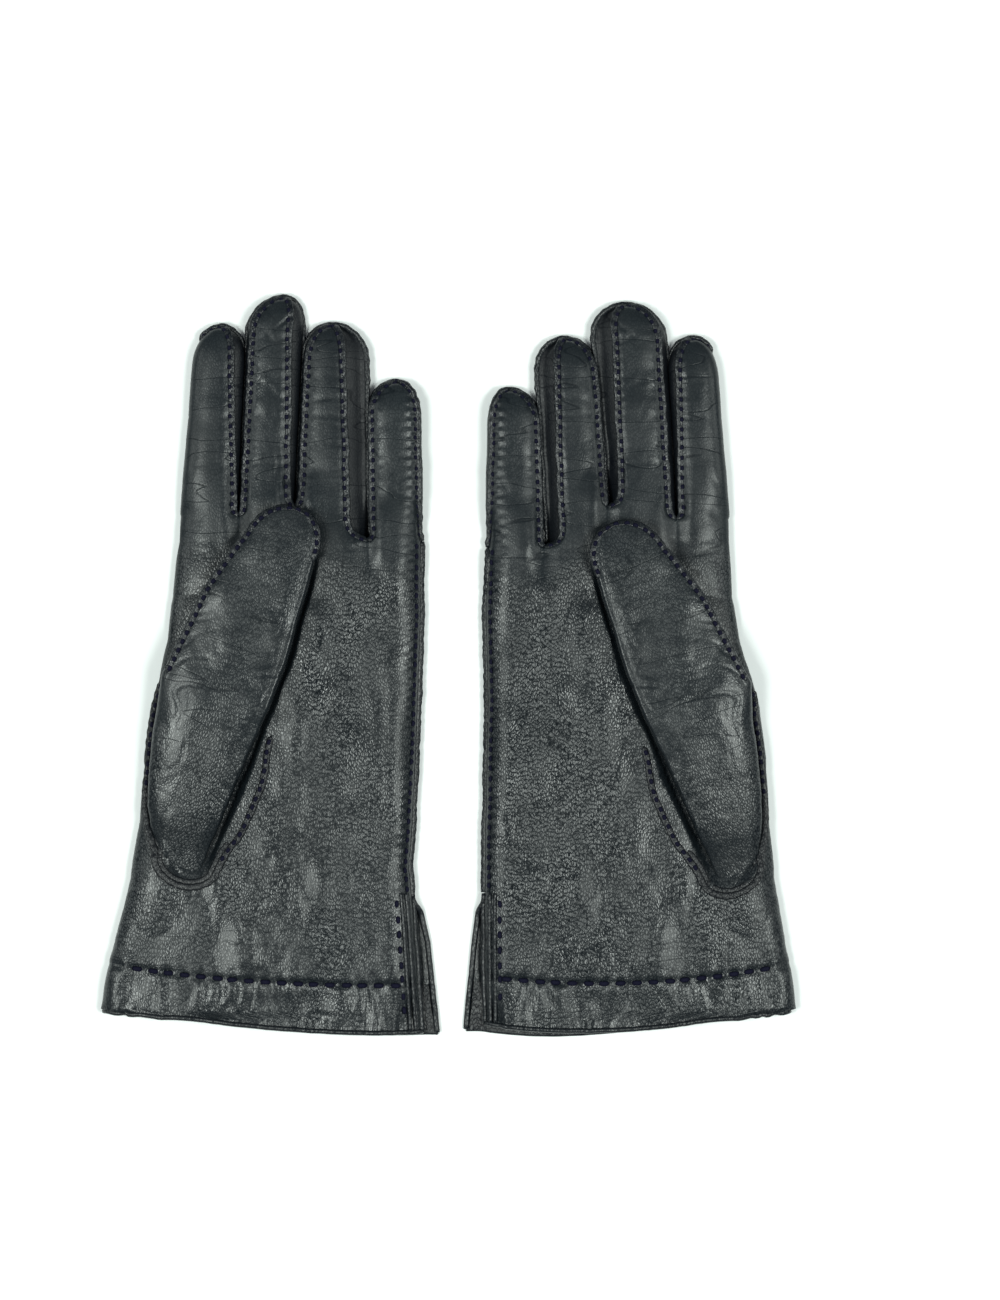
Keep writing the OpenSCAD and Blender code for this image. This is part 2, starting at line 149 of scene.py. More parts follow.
class Glove:
    def __init__(self, name, side):
        self.name, self.side = name, side
        joints = {j["name"]: j for j in frame["joints"]}
        back, palm = self.cad("back_panel"), self.cad("palm_panel")
        back = back[back[:, 2] < 0.1]
        rim = palm[(palm[:, 2] > 1.15) & (palm[:, 2] < 1.3)]
        self.vent_top = vent_top = self.cad("vent_binding")[:, 1].max()
        outer = np.vstack([back[(back[:, 0] > 84) & (back[:, 1] < 30)], rim[rim[:, 0] > 84]])
        outer[:, 0] += CUFF_FLARE[name] * ease((-80 - outer[:, 1]) / 28)
        self.thumb_edge = curve(outer)
        inner = back[(back[:, 0] < 16) & (back[:, 1] > vent_top) & (back[:, 1] < 40)]
        self.vent_edge = curve(np.vstack([inner, rim[rim[:, 0] < 16]]) + [SIDE_SEAM_W, 0, 0])
        self.back_vent = curve(back[(back[:, 0] < 12) & (back[:, 1] < vent_top + 2)])
        hem = palm[palm[:, 1] < vent_top - 28]
        self.hem = curve(hem[:, [1, 0, 2]])
        self.fingers = {}
        for f in FINGERS:
            skin = np.vstack([self.cad(f + part) for part in ("_front", "_back", "_" + FORKS[f])])
            root = joints[f"{name}_{f}_bend"]["pos_m"][1] / MM
            tip = skin[:, 1].max()
            base, top = skin[skin[:, 1] < root + 0.5], skin[np.abs(skin[:, 1] - tip + TIP_ROUND) < 0.8]
            end = skin[skin[:, 1] > tip - 0.3]
            vent, thumb, vent_seam, thumb_seam = FIT[name][f]
            self.fingers[f] = {"root": root, "tip": tip - TIP_EDGE, "tx": end[:, 0].mean(),
                               "x0": base[:, 0].min() - vent[0], "x1": base[:, 0].max() + thumb[0],
                               "t0": top[:, 0].min() - vent[1], "t1": top[:, 0].max() + thumb[1],
                               "vent_seam": vent_seam, "thumb_seam": thumb_seam}
        lift = joints[name + "_thumb_lift"]
        self.thumb_root = np.array(lift["pos_m"][:2]) / MM * [side, 1]
        self.across = np.array([lift["axis"][0], side * lift["axis"][1]])
        self.along = np.array([-self.across[1], self.across[0]])
        stall = self.on_thumb(np.vstack([self.cad("thumb_front"), self.cad("thumb_back")]))
        base = self.on_thumb(self.cad("thumb_base"))
        self.thumb_fold, self.thumb_seam = sides(stall, base)
        self.thumb_tip = stall[:, 1].max()
        self.thumb_end = base[:, 1].min()

    def cad(self, part):
        """Vertices of one of the glove's CAD nodes."""
        mesh = frame["nodes"][f"{self.name}_{part}"].data
        co = np.empty(len(mesh.vertices) * 3, np.float32)
        mesh.vertices.foreach_get("co", co)
        return co.reshape(-1, 3).astype(float) / MM * [self.side, 1, 1]

    def on_thumb(self, points):
        """Points as (across, along) the thumb from the middle of its root line."""
        d = points[..., :2] - self.thumb_root
        return together(d @ self.across, d @ self.along)

    def off_thumb(self, u, v):
        return (self.thumb_root[0] + u * self.across[0] + v * self.along[0],
                self.thumb_root[1] + u * self.across[1] + v * self.along[1])

    def crotch(self, k):
        """Where the seam between finger k and the one before it ends: (x, y)."""
        f = [self.fingers[n] for n in FINGERS]
        if k == 0:
            y = f[0]["root"] - BEND_REACH
            return self.vent_edge(y), y
        if k == len(f):
            y = f[-1]["root"] - BEND_REACH
            return self.thumb_edge(y), y
        y = min(f[k - 1]["root"], f[k]["root"]) - BEND_REACH
        return (f[k - 1]["x1"] + f[k]["x0"]) / 2, y


def curve(points):
    """x as a function of y through the given points."""
    points = points[np.argsort(points[:, 1])]
    ys, xs = points[:, 1].copy(), points[:, 0].copy()
    return lambda y: np.interp(y, ys, xs)


def sides(stall, base):
    """The thumb's fold and seam edges, across it, as functions of the distance along it."""
    edges = []
    for pick in (np.min, np.max):
        rows = []
        for part, pitch in ((stall, 2.0), (base, 6.3)):
            low, high = part[:, 1].min(), part[:, 1].max()
            for v in np.arange(low, high + 0.1, pitch):
                near = part[np.abs(part[:, 1] - v) < pitch / 2]
                if len(near):
                    u = pick(near[:, 0])
                    rows.append([u, near[near[:, 0] == u][0, 1]])
        edges.append(curve(np.array(rows)))
    return edges


# ---- the shape of the leather ----

def palm_height(g, x, y):
    """Height of the palm's leather over the surface."""
    from_vent, from_thumb = x - g.vent_edge(y), g.thumb_edge(y) - x
    flatter = 1.0 * ease((-88 - y) / 30)
    broad = 0.60 * noise(x / 24, y / 34, 3)
    wx, wy = x / 8.5 + 0.35 * noise(x / 14, y / 12, 6), y / 24 + 0.3 * noise(x / 9, y / 15, 7)
    tall = PALM_H - flatter + broad + (0.48 + 0.22 * ease((-30 - y) / 40)) * noise(wx, wy, 5)
    z = SEAM_Z + (tall - SEAM_Z) * roll(from_vent / EDGE_ROLL) * roll(from_thumb / (EDGE_ROLL + 3))
    for k in (1, 2, 3):  # hollows running down from between the fingers
        cx, cy = g.crotch(k)
        z = z - 1.5 * np.exp(-((x - cx) / 3.2) ** 2) * ease(1 - (cy - y) / 17)
    return z - thumb_well(g, x, y)


def thumb_well(g, x, y):
    """Depth that the palm sinks beside and under the thumb."""
    uv = g.on_thumb(together(x, y))
    u, v = uv[..., 0], uv[..., 1]
    beyond = g.thumb_fold(v) - u
    gusset = ease((-4 - v) / 16)
    gap = mix(mix(0.1, 0.5, ease((56 - v) / 50)), 1.5, gusset)
    reach = 7.6 * (1 - 0.55 * ease((-44 - v) / 16))
    under = ease((beyond + 14) / 6)
    along = ease((g.thumb_tip - 8 - v) / 16) * ease((v - g.thumb_end + 3) / 8)
    slope = mix(0.3, 0.6, gusset) * (1 - ease(beyond / reach))
    drop = mix(1.6, 2.8, gusset) * ease((v - g.thumb_end + 1) / 16) * (1 - ease((beyond - gap) / 0.9))
    depth = under * along * (drop + slope)
    past_seam = u - g.thumb_seam(v)
    base = ease((2 - v) / 8) * ease((v - g.thumb_end + 2) / 6)
    return depth + 1.5 * base * np.exp(-((past_seam + 0.6) / 1.5) ** 2)


def back_height(g, x, y):
    """Height of the back's leather, which lies nearly flat."""
    open_vent = ease((g.vent_top - y) / 6)
    from_vent = x - mix(g.vent_edge(y), g.back_vent(y), open_vent)
    from_thumb = g.thumb_edge(y) - x
    lift = (SEAM_Z - FLOOR_Z) * (1 - roll(from_vent / 6)) * (1 - open_vent)
    lift = lift + (SEAM_Z - FLOOR_Z) * (1 - roll(from_thumb / 6))
    lift = lift + 0.5 * open_vent * (1 - roll(from_vent / 4))
    return FLOOR_Z + lift + 0.18 * (1 + noise(x / 21, y / 24, 8))


def finger_bounds(g, f, y):
    """A finger's middle, half width and bluntness (1 before its tip, 0 at its end) at y."""
    d = g.fingers[f]
    t = (y - d["root"]) / (d["tip"] - TIP_ROUND - d["root"])
    late = np.clip((y - d["tip"] + TIP_ROUND) / TIP_ROUND, 0, 1)
    blunt = np.sqrt(np.maximum(1 - late ** 2.2, 0.0004))
    low, high = mix(d["x0"], d["t0"], t), mix(d["x1"], d["t1"], t)
    mid = mix((low + high) / 2, d["tx"], late ** 2)
    half = (high - low) / 2 * (1 + 0.012 * noise(y / 9, 0 * y + low / 9, 11))
    return mid, half, blunt


def seam_angle(g, f, y, past_crotch, thumb_side):
    """Angle round a finger of its front seam, which leaves the crotch and moves in from the side."""
    d = g.fingers[f]
    root, tip = d["thumb_seam" if thumb_side else "vent_seam"]
    if root == 0:
        return 0 * y
    t = np.clip((y - d["root"]) / (d["tip"] - TIP_ROUND - d["root"]), 0, 1)
    inset = mix(root, tip, t)
    inset = mix(0.5, inset, roll(past_crotch / (2.5 + 0.7 * inset)))
    half = finger_bounds(g, f, y)[1]
    c = 1 - inset / half
    angle = np.degrees(np.arccos(power(c, 1 / FINGER_CURVE)))
    return angle if thumb_side else 180 - angle


def finger_section(g, f, angle, y):
    """Point on finger f at the given angle round it and the given y."""
    mid, half, blunt = finger_bounds(g, f, y)
    tall = blunt ** 0.75 * (1 + 0.035 * noise(y / 14, 0 * y + mid / 7, 12))
    a = np.radians(angle)
    rise = np.where(np.sin(a) > 0, FINGER_H - FORK_Z, FORK_Z - FLOOR_Z)
    return together(mid + half * blunt * power(np.cos(a), FINGER_CURVE), y,
                    FORK_Z + 0.3 * (1 - blunt) + rise * tall * power(np.sin(a), FINGER_CURVE))


def root_spread(g, f, low, high):
    """How the columns of the leather spread between a finger's two crotches: as they do on the
    finger itself, so that they run straight up into it, but reaching out to the crotches at the ends."""
    u = np.arange(ACROSS + 1) / ACROSS
    y = np.array([g.fingers[f]["root"]])
    seams = [seam_angle(g, f, y, 50.0, thumb_side) for thumb_side in (False, True)]
    mid, half, _ = finger_bounds(g, f, y)
    x = mid + half * power(np.cos(np.radians(mix(*seams, u))), FINGER_CURVE)
    part = np.clip((x - low) / (high - low), 0, 1)
    part = part - part[0] * (1 - ease(u / 0.22)) + (1 - part[-1]) * ease((u - 0.78) / 0.22)
    return mix(np.maximum.accumulate(part), (1 - np.cos(np.pi * u)) / 2, 0.12)


class Skin:
    """Vertices and tagged quads of one glove's leather, before it is cut into pieces."""

    def __init__(self):
        self.points, self.faces, self.tags, self.count = [], [], [], 0

    def add(self, points):
        """Adds a grid of points and returns its vertex numbers in the same shape."""
        shape = points.shape[:-1]
        n = int(np.prod(shape))
        self.points.append(points.reshape(-1, 3))
        self.count += n
        return np.arange(self.count - n, self.count).reshape(shape)

    def at(self, numbers):
        """Points added so far, by their numbers."""
        return np.vstack(self.points)[numbers]

    def quads(self, index, tag, flip=False):
        """Quads over a grid of vertex numbers; flip turns their faces the other way."""
        a, b, c, d = index[:-1, :-1], index[:-1, 1:], index[1:, 1:], index[1:, :-1]
        q = together(*([a, d, c, b] if flip else [a, b, c, d])).reshape(-1, 4)
        self.faces.append(q)
        self.tags += [tag] * len(q)

    def close(self):
        self.points = np.vstack(self.points)
        self.faces = np.vstack(self.faces)
        self.tags = np.array(self.tags)

    def normals(self):
        p, f = self.points, self.faces
        n = np.cross(p[f[:, 2]] - p[f[:, 0]], p[f[:, 3]] - p[f[:, 1]])
        out = np.zeros_like(p)
        for k in range(4):
            np.add.at(out, f[:, k], n)
        return out / np.maximum(np.linalg.norm(out, axis=1, keepdims=True), 1e-12)


def build_skin(g):
    """The hand, its fingers and the walls between them, as one closed skin open at the cuff."""
    skin = Skin()
    crotches = np.array([g.crotch(k) for k in range(5)])
    cx, cy = [], []
    for k, f in enumerate(FINGERS):
        part = root_spread(g, f, crotches[k, 0], crotches[k + 1, 0])
        wide = crotches[k + 1, 0] - crotches[k, 0]
        flat = [(g.fingers[f][side][0] + 1.5) / wide for side in ("vent_seam", "thumb_seam")]
        rise = ease((part - flat[0]) / (1 - flat[0] - flat[1]))
        cx.append(mix(crotches[k, 0], crotches[k + 1, 0], part)[(k > 0):])
        cy.append(mix(crotches[k, 1], crotches[k + 1, 1], rise)[(k > 0):])
    cx, cy = np.concatenate(cx), np.concatenate(cy)
    share = (cx - cx[0]) / (cx[-1] - cx[0])
    rows = int((cy.mean() - g.hem(60)) / STEP)
    s = np.linspace(0, 1, rows + 1)[:, None]

    def hand_grid(low_edge, hem_drop):
        hem_x = mix(low_edge(-118.0), g.thumb_edge(-113.0), share)
        y = mix((g.hem(hem_x) - hem_drop)[None, :], cy[None, :], s)
        x = mix(low_edge(y), g.thumb_edge(y), share[None, :])
        return mix(x, cx[None, :], ease((s - 0.9) / 0.1)), y

    x, y = hand_grid(g.vent_edge, 0 * share)
    top = skin.add(together(x, y, palm_height(g, x, y)))
    back_drop = (2.2 if g.name == "right" else 0.5) * ease((0.75 - share) / 0.6)
    open_edge = lambda y: mix(g.vent_edge(y), g.back_vent(y), ease((g.vent_top - y) / 5))
    x, y = hand_grid(open_edge, back_drop)
    under = skin.add(together(x, y, back_height(g, x, y)))
    closed = y[:, 0] > g.vent_top
    under[closed, 0] = top[closed, 0]
    under[:, -1] = top[:, -1]
    skin.quads(top, "hand")
    skin.quads(under, "hand", flip=True)
    paths = {"top": top, "under": under, "front": {}, "back": {}}

    webs = {}
    m = np.arange(1, WALL)[:, None] / WALL
    for k in (1, 2, 3):
        c = k * ACROSS
        webs[k] = skin.add(together(
            np.full(WALL - 1, cx[c]), cy[c] - 1.2 * np.sin(np.pi * m[:, 0]),
            mix(skin.at(top[-1, c])[2], skin.at(under[-1, c])[2], m[:, 0])))

    for k, f in enumerate(FINGERS):
        d = g.fingers[f]
        cols = slice(k * ACROSS, (k + 1) * ACROSS + 1)
        count = int((d["tip"] - cy[cols].mean()) / STEP)
        t = np.linspace(0, 1, count + 1)
        j = (1 - (1 - t) ** 1.12)[1:, None]
        lo_back, hi_back = (176 if d["vent_seam"][0] > DEEP_SEAM else 200), 340

        def face(start, angles, sink=0.0, inner=0.0):
            """Rows of points that leave the row `start` and settle on the finger's own section, at once
            beside the seams and slowly where inner is 1."""
            y = mix(start[None, :, 1], d["tip"] - 0.02, j)
            past = y - start[None, :, 1]
            section = finger_section(g, f, angles(y), y)
            x = mix(start[None, :, 0], section[..., 0], mix(roll(past / 3.2), ease(past / 14), inner))
            z = mix(start[None, :, 2], section[..., 2], ease(past / 18)) - sink * ease(past / 16)
            return together(x, y, z)

        def seam(y, thumb_side):
            return seam_angle(g, f, y, y - cy[(k + thumb_side) * ACROSS], thumb_side)

        u = np.arange(ACROSS + 1)[None, :] / ACROSS
        inner = ease(np.minimum(u, 1 - u) / 0.28)
        front = np.vstack([top[-1:, cols], skin.add(face(
            skin.at(top[-1, cols]), lambda y: mix(seam(y, False), seam(y, True), u), inner=inner))])
        rear = np.vstack([under[-1:, cols], skin.add(face(
            skin.at(under[-1, cols]),
            lambda y: mix(seam(y, False) if f == "little" else lo_back, 360 if f == "index" else hi_back, u),
            inner=inner))])
        if f == "little":
            rear[:, 0] = front[:, 0]
        if f == "index":
            rear[:, -1] = front[:, -1]
        skin.quads(front, f)
        skin.quads(rear, f, flip=True)
        for thumb_side, web in ((False, k), (True, k + 1)):
            if web not in webs:
                continue
            edge, back, turn = (-1, hi_back, 360) if thumb_side else (0, lo_back, 0)
            fold = 2.0 if d["thumb_seam" if thumb_side else "vent_seam"][0] > DEEP_SEAM else 0.3
            between = skin.add(face(skin.at(webs[web]),
                                    lambda y: mix(seam(y, thumb_side) + turn, back, m[:, 0]),
                                    fold * (1 - np.abs(2 * m[:, 0] - 1))))
            wall = np.hstack([front[:, edge][:, None], np.vstack([webs[web][None, :], between]),
                              rear[:, edge][:, None]])
            skin.quads(wall, f + "_fork", flip=not thumb_side)
        cap = np.stack([front[-1], rear[-1]])
        skin.quads(cap, f, flip=True)
        paths["front"][f], paths["back"][f] = front, rear
    skin.close()
    return skin, paths


# ---- wrinkles ----

def seam_puckers(distance, along, reach, pitch):
    """Small swellings between the stitches of a seam."""
    return np.exp(-(distance / reach) ** 2) * np.cos(2 * np.pi * along / pitch)


def hand_detail(g, p):
    """Height of the fine folds at each point of the hand's and fingers' leather."""
    x, y, z = p[:, 0], p[:, 1], p[:, 2]
    upper = ease((z - SEAM_Z) / 3)
    wx, wy = x + 3.0 * noise(x / 13, y / 13, 21), y + 3.0 * noise(x / 13, y / 13, 22)
    root = min(g.fingers[f]["root"] for f in FINGERS)
    at_fingers = ease((y - root + 22) / 16)
    out = mix(0.16, 0.05, at_fingers) * noise(x / 6, y / 8, 23) + 0.05 * noise(x / 2.4, y / 3.6, 24)
    # creases across the fingers and their roots
    patch = 0.4 + 0.6 * ease(0.5 + 1.3 * noise(x / 16, y / 11, 25))
    out = out - 0.17 * at_fingers * patch * creases(wx / 36, wy / 6.5, 26, 7.0)
    out = out + 0.06 * at_fingers * noise(wx / 22, wy / 5.0, 27)
    # irregular folds over the wrist and towards the side seam
    wrist = ease((-40 - y) / 30) * ease((y + 108) / 10)
    out = out - 0.28 * wrist * patch * creases(wx / 9, wy / 12, 28, 3.0)
    out = out - 0.16 * wrist * creases(wx / 5 + wy / 14, wy / 6, 29, 2.6)
    # fine folds by the thumb-side edge and the web
    web = np.exp(-((x - g.thumb_edge(y) + 10) / 13) ** 2) * np.exp(-((y - 12) / 24) ** 2)
    out = out - 0.34 * web * creases(wx / 10 - wy / 30, wy / 5, 30, 2.8)
    # upright puckers between the hem's stitches and its binding
    above = y - g.hem(x)
    hem = ease((HEM_STITCH_UP + 1 - above) / 3)
    out = out + 0.70 * hem * noise(wx / 2.3, wy / 17, 31) + 0.24 * hem * noise(x / 1.3, y / 8, 32)
    # crumples at the middle finger's tip and beside its root
    middle = g.fingers["middle"]
    tip = np.exp(-((y - middle["tip"] + 9) / 6) ** 2 - ((x - middle["tx"]) / 7) ** 2)
    out = out - 0.55 * tip * creases(wx / 7 + wy / 9, wy / 8, 33, 3.0)
    side = np.exp(-((y - middle["root"] - 4) / 9) ** 2 - ((x - middle["x0"] - 4) / 3.5) ** 2)
    out = out - 0.50 * side * creases(wx / 2.6, wy / 14, 34, 2.4)
    stitch_row = above - HEM_STITCH_UP
    out = out - 0.42 * np.exp(-(stitch_row / 1.1) ** 2)
    out = out + 0.30 * seam_puckers(stitch_row, x - g.vent_edge(-103.0) - 5.0, 2.4, HEM_PITCH)
    # puckers along the side seam
    along_seam = np.where(y > g.vent_top, x - g.vent_edge(y), 99)
    out = out + 0.14 * seam_puckers(along_seam - 2.6, y, 2.2, SEAM_PITCH)
    return out * mix(0.55, 1.0, upper)


def finger_seam_detail(skin, paths):
    """Puckers beside the finger seams."""
    out = np.zeros(len(skin.points))
    for f in FINGERS:
        grid = paths["front"][f]
        p = skin.points[grid]
        for edge in (0,) if f == "index" else (0, -1):
            gap = np.linalg.norm(p - p[:, edge][:, None, :], axis=-1)
            wave = seam_puckers(gap - 1.6, p[..., 1], 1.8, SEAM_PITCH)
            dent = -0.15 * np.exp(-((gap - 1.0) / 0.8) ** 2)
            out[grid] += 0.04 * wave + dent
    return out


def thumb_detail(g, uv, up):
    u, v = uv[:, 0], uv[:, 1]
    wu, wv = u + 3.5 * noise(u / 12, v / 12, 41), v + 3.5 * noise(u / 12, v / 12, 42)
    out = 0.20 * noise(u / 7, v / 8, 43) + 0.06 * noise(u / 2.5, v / 3, 44)
    slant = wv + 0.45 * wu
    middle = np.exp(-((v - 8) / 26) ** 2)
    out = out - 0.40 * middle * creases(wu / 24, slant / 7.5, 45, 4.5)
    out = out - 0.20 * (0.2 + middle) * creases(wu / 10, slant / 4.0, 46, 4.0)
    out = out + 0.45 * np.exp(-((v - 20) / 22) ** 2) * noise(u / 10, v / 17, 48)
    base = ease((-8 - v) / 20)
    out = out - 0.26 * base * creases(wu / 5, wv / 8, 47, 2.8)
    # the folded edge, pressed to a thin ridge
    ridge = 0.30 * ease((v + 50) / 20) * np.exp(-((u - g.thumb_fold(v) - 0.9) / 0.7) ** 2)
    return out * mix(0.5, 1, up) + ridge


# ---- thumb ----

THUMB_ROUND = 120


def build_thumb(g):
    """The thumb's leather from its lowest point, set in the palm, to its tip, as a closed tube."""
    low, high = g.thumb_end - 1.0, g.thumb_tip
    n = int((high - low) / STEP)
    t = np.linspace(0, 1, n + 1)
    v = mix(low, high, t + 0.02 * np.sin(2 * np.pi * t))
    fold, seam = g.thumb_fold(v), g.thumb_seam(v)
    late = np.clip((v - high + THUMB_TIP_ROUND) / THUMB_TIP_ROUND, 0, 1)
    near = np.clip((low + 12 - v) / 12, 0, 1)
    blunt = np.sqrt(np.maximum(1 - late ** 2, 0.0004))
    mid, half = (fold + seam) / 2, (seam - fold) / 2
    last_full = half[np.argmin(np.abs(v - high + THUMB_TIP_ROUND))]
    full = np.interp(v, [low, low + 3, high - THUMB_TIP_ROUND, high], [1.5, 5.0, last_full, 12.0])
    half = np.where(late > 0, full * blunt, half)
    round_from = np.interp(high - THUMB_TIP_ROUND, v, mid)
    mid = np.where(late > 0, np.interp(v, [high - THUMB_TIP_ROUND, high], [round_from, mid[-2]]), mid)
    top = mix(mix(7.3, 10.8, ease((v - low) / 26)), 15.2, ease((v - low - 6) / 60)) - 1.0 * late ** 2
    bottom = mix(3.4, 8.3, ease((v + 16) / 22)) + 1.6 * late ** 2
    tall = (top - bottom) / 2 * np.minimum(1, mix(blunt, 1, 0.25)) * (1 - 0.75 * near ** 2)
    a = np.linspace(0, 2 * np.pi, THUMB_ROUND, endpoint=False)[None, :]
    folded = ease(0.5 - 1.2 * np.cos(a))
    u = mid[:, None] + half[:, None] * power(np.cos(a), mix(0.75, 0.42, folded))
    x, y = g.off_thumb(u, v[:, None] + 0 * a)
    z = (top - tall)[:, None] + tall[:, None] * power(np.sin(a), mix(0.7, 0.42, folded))
    skin = Skin()
    grid = skin.add(together(x, y, z))
    ring = np.hstack([grid, grid[:, :1]])
    skin.quads(ring, "thumb", flip=True)
    for row, flip in ((0, True), (-1, False)):
        half_ring = THUMB_ROUND // 2
        cap = np.stack([ring[row, :half_ring + 1], ring[row, ::-1][:half_ring + 1]])
        skin.quads(cap, "thumb", flip=flip)
    skin.close()
    uv = g.on_thumb(skin.points)
    n = skin.normals()
    skin.points = skin.points + n * thumb_detail(g, uv, ease(n[:, 2] + 0.5))[:, None]
    return skin, grid


# ---- making Blender objects ----

def make_object(g, name, points, faces, material, normals=None, creased=None, flow=None):
    """A mesh object from points in glove space. For each point, creased says how creased the leather
    is and flow gives its place along the leather's grain, if that isn't the glove's own."""
    co = np.asarray(points, float) * [g.side * MM, MM, MM]
    co[:, 2] = np.maximum(co[:, 2], 0.02 * MM)  # pressed flat where it rests on the surface
    faces = [tuple(dict.fromkeys(int(i) for i in (q if g.side > 0 else q[::-1]))) for q in faces]
    faces = [q for q in faces if len(q) > 2]
    mesh = bpy.data.meshes.new(f"{g.name}_{name}")
    mesh.from_pydata(co.tolist(), [], faces)
    rest = mesh.attributes.new("rest_mm", "FLOAT_VECTOR", "POINT")
    grain = np.asarray(points, float) if flow is None else flow
    rest.data.foreach_set("vector", (grain * [g.side, 1, 1]).astype(np.float32).ravel())
    if creased is not None:
        mesh.attributes.new("creased", "FLOAT", "POINT").data.foreach_set("value", creased.astype(np.float32))
    mesh.polygons.foreach_set("use_smooth", [True] * len(mesh.polygons))
    if normals is not None:
        mesh.normals_split_custom_set_from_vertices((normals * [g.side, 1, 1]).tolist())
    mesh.materials.append(material)
    mesh.update()
    obj = bpy.data.objects.new(f"{g.name}_{name}", mesh)
    bpy.context.scene.collection.objects.link(obj)
    return obj


def carve(g, skin, normals, tags, name, material):
    """The faces with these tags as an object of their own, shaded as part of the whole."""
    faces = skin.faces[np.isin(skin.tags, tags)]
    used, compact = np.unique(faces, return_inverse=True)
    points = skin.points[used]
    root = np.interp(points[:, 0], [g.crotch(k)[0] for k in range(5)], [g.crotch(k)[1] for k in range(5)])
    creased = np.maximum(ease((points[:, 1] - root + 26) / 24), 0.55 * ease((-62 - points[:, 1]) / 25))
    flow = None
    if "thumb" in tags:
        uv = g.on_thumb(points)
        creased = 0.45 + 0.35 * ease((uv[:, 1] + 34) / 30)
        flow = np.column_stack([uv, points[:, 2]])
    return make_object(g, name, points, compact.reshape(faces.shape), material, normals[used], creased, flow)


def unit(v):
    return v / np.maximum(np.linalg.norm(v, axis=-1, keepdims=True), 1e-9)


def steps(path):
    """Distance from each point of a path to the next."""
    return np.linalg.norm(np.diff(path, axis=0), axis=1)


def distances(path):
    """Distance along a path of each of its points."""
    return np.concatenate([[0], np.cumsum(steps(path))])


def at_distance(at, s, values):
    """The values, given at distances s along a path, at other distances."""
    return np.stack([np.interp(at, s, values[:, k]) for k in range(3)], axis=-1)


def resample(path, ups, step):
    """The path and its up vectors at even steps along it."""
    s = distances(path)
    at = np.linspace(0, s[-1], max(2, int(s[-1] / step) + 1))
    return at_distance(at, s, path), unit(at_distance(at, s, ups)), at


def tube(rings):
    """Rings of points one after another, joined up, with both ends closed."""
    n, k = rings.shape[:2]
    i, j = np.arange(n - 1)[:, None] * k, np.arange(k)[None, :]
    a, b = i + j, i + (j + 1) % k
    faces = [tuple(q) for q in together(a, b, b + k, a + k).reshape(-1, 4)]
    return rings.reshape(-1, 3), faces + [tuple(range(k))[::-1], tuple(range((n - 1) * k, n * k))]


def sweep(path, ups, profile):
    """A strip of the given profile (outwards, up) along a path; up tilts with the leather."""
    tangent = unit(np.gradient(path, axis=0))
    out = unit(np.cross(tangent, ups))
    up = np.cross(out, tangent)
    return tube(path[:, None, :] + profile[..., :1] * out[:, None, :] + profile[..., 1:] * up[:, None, :])


def oval(across, tall, n=10):
    a = 2 * np.pi * np.arange(n) / n
    return together(across * np.cos(a), tall * np.sin(a))


# Two raw edges of leather sewn together, standing 1.5 mm out from the stitches
LIP = np.array([[-1.0, 0.06], [-0.55, 0.34], [0.1, 0.40], [0.8, 0.42], [1.25, 0.30], [1.38, 0.06],
                [1.12, -0.12], [1.30, -0.34], [1.18, -0.66], [0.5, -0.78], [-0.5, -0.62], [-0.95, -0.25]])


def lip(path, ups, seed, outwards=1.0, wave=0.16, end=0.15):
    """The standing edge of a sewn seam, pinched at each stitch and a little wavy."""
    path, ups, at = resample(path, ups, 0.8)
    pinch = 0.5 + 0.5 * np.cos(2 * np.pi * at / SEAM_PITCH)
    sway = wave * noise(at / 4.2, 0 * at + seed, 51) + 0.10 * noise(at / 1.7, 0 * at + seed, 52)
    profile = np.repeat(LIP[None], len(at), 0) * [outwards, 1.0]
    profile = profile * (1 - 0.10 * pinch[:, None, None])
    profile[..., 0] += sway[:, None] * np.clip(LIP[None, :, 0] * 0.6 + 0.5, 0, 1.2)
    profile[..., 1] += 0.10 * (1 - pinch)[:, None] - 0.04
    ends = np.clip(np.minimum(at, at[-1] - at) / 1.2, end, 1)
    profile = profile * ends[:, None, None]
    if outwards < 0:
        profile = profile[:, ::-1]
    return sweep(path, ups, profile)


def joined(parts):
    """Several (points, faces) as one."""
    points, faces, start = [], [], 0
    for p, f in parts:
        points.append(p)
        faces += [tuple(int(i) + start for i in q) for q in f]
        start += len(p)
    return np.vstack(points), faces


def stitches(path, ups, pitch, length, radius, lift, seed):
    """A row of stitches along a path, each a plump bar that dips into the leather at both ends."""
    s = distances(path)
    lead, rings, around = 0.5, 7, 8
    count = int((s[-1] - lead) / pitch)
    t = np.linspace(-1, 1, rings)
    a = 2 * np.pi * np.arange(around) / around
    parts = []
    for k in range(count):
        jitter = float(noise(np.array([k * 1.7]), np.array([seed * 3.1]), 61)[0])
        at = lead + (k + 0.5) * pitch + 0.12 * pitch * jitter
        centre, up = at_distance(at, s, path), unit(at_distance(at, s, ups))
        ahead = unit(at_distance(at + 0.6, s, path) - at_distance(at - 0.6, s, path))
        out = unit(np.cross(ahead, up))
        up = np.cross(out, ahead)
        r = radius * np.sqrt(1 - 0.9 * t ** 4)
        hug = lift - (lift + 0.55 * radius) * np.abs(t) ** 3
        line = centre + t[:, None] * ahead * length / 2 + hug[:, None] * up + 0.1 * jitter * t[:, None] * out
        parts.append(tube(line[:, None, :] + r[:, None, None] * (
            1.15 * np.cos(a)[None, :, None] * out + 0.9 * np.sin(a)[None, :, None] * up)))
    return joined(parts)


# ---- materials ----

def new_material(name):
    """A new material and its node tree."""
    material = bpy.data.materials.new(name)
    material.use_nodes = True
    return material, material.node_tree


